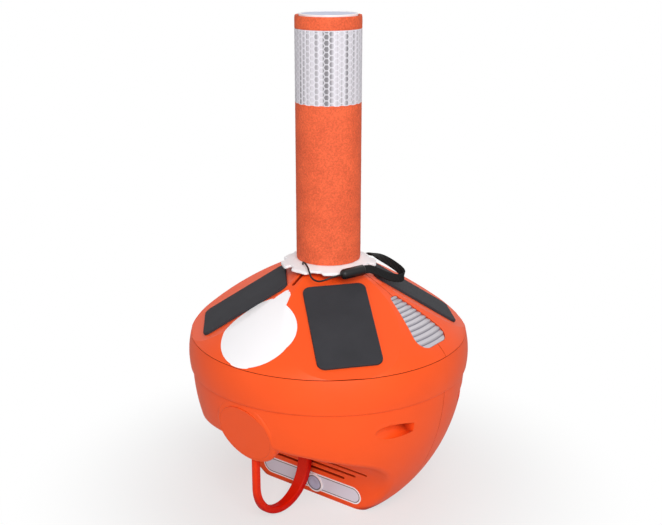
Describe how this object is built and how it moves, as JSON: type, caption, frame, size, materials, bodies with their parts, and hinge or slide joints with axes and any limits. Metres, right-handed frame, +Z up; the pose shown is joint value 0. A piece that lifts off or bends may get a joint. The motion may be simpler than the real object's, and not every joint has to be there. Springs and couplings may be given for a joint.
{
  "type": "anchor marker buoy",
  "caption": "Round moulded anchor buoy with a flat keel, padded domed deck, foam-covered mast with a reflective band, bottom line loop and wrist lanyard.",
  "frame": {"origin": "centre of the keel's flat bottom, on the floor, on the mast's axis", "axes": "+Z up along the mast; -Y out of the front, where the reel housing and the recess are; +X to the right"},
  "size_m": [0.2885, 0.2884, 0.4939],
  "materials": {
    "orange_moulding": "satin moulded polyethylene, orange",
    "reel_steel": "plain, closed inside",
    "loop_red": "satin moulded plastic, red",
    "pad_rubber": "matt, fine grained",
    "lens_silver": "ribbed, silver backed",
    "collar_white": "soft sheet, matt",
    "tube_white": "satin tube",
    "foam_orange": "closed cell foam, fine grained",
    "band_silver": "retroreflective film with a honeycomb",
    "plug_grey": "satin, pale blue grey",
    "cord_black": "braided",
    "grip_black": "moulded",
    "strap_black": "woven webbing"
  },
  "bodies": {
    "root": {"hull_front": "orange_moulding", "hull_rear": "orange_moulding", "hull_belt": "orange_moulding", "deck_front": "orange_moulding", "deck_rear": "orange_moulding", "reel_cover": "orange_moulding", "reel_block": "reel_steel", "line_loop": "loop_red", "pad_front_right": "pad_rubber", "pad_front_left": "pad_rubber", "pad_rear_right": "pad_rubber", "pad_rear_left": "pad_rubber", "lens_right": "lens_silver", "lens_left": "lens_silver", "mast_collar": "collar_white", "mast_core": "tube_white", "mast_foam": "foam_orange", "mast_band": "band_silver", "mast_plug": "plug_grey", "lanyard_cord": "cord_black", "lanyard_grip": "grip_black", "lanyard_strap": "strap_black"}
  },
  "joints": []
}
